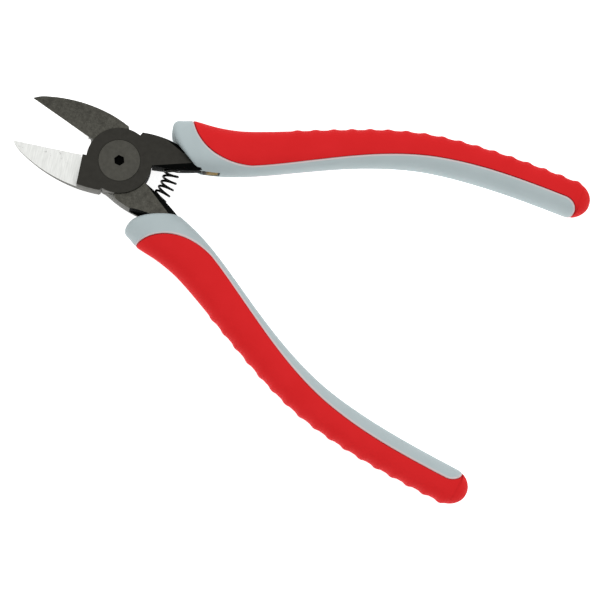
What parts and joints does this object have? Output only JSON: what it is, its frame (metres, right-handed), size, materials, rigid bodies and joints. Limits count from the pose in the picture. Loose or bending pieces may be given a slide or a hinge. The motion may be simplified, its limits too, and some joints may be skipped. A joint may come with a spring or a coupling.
{
  "type": "side cutting nippers",
  "caption": "Spring-opened hand nippers with lapped straight cutting blades on a pivot screw and curved two-colour ribbed grips.",
  "frame": {"origin": "on the pivot axis at the rear boss face", "axes": "+X along the bisector towards the handles, +Y towards the upper handle, +Z along the pivot axis out of the front face"},
  "size_m": [0.1492, 0.0958, 0.0132],
  "materials": {
    "black_steel": "forged steel, black oxide, the blade's inner face ground bright",
    "screw_steel": "turned steel, black oxide",
    "spring_steel": "spring wire, black",
    "grey_elastomer": "moulded, satin",
    "red_elastomer": "moulded, satin",
    "amber_glue": "hardened glue, glossy"
  },
  "bodies": {
    "front": {"front_half": "black_steel", "upper_core": "grey_elastomer", "upper_cover": "red_elastomer", "upper_glue": "amber_glue", "return_spring": "spring_steel"},
    "rear": {"rear_half": "black_steel", "pivot_screw": "screw_steel", "lower_core": "grey_elastomer", "lower_cover": "red_elastomer", "lower_glue": "amber_glue"}
  },
  "joints": [
    {"name": "jaw_pivot", "type": "hinge", "parent": "front", "child": "rear", "pos_m": [0, 0, 0], "axis": [0, 0, 1], "range_deg": [-13, 28.5], "stiffness_Nm_per_rad": 1.1, "deforming": ["return_spring"]}
  ]
}
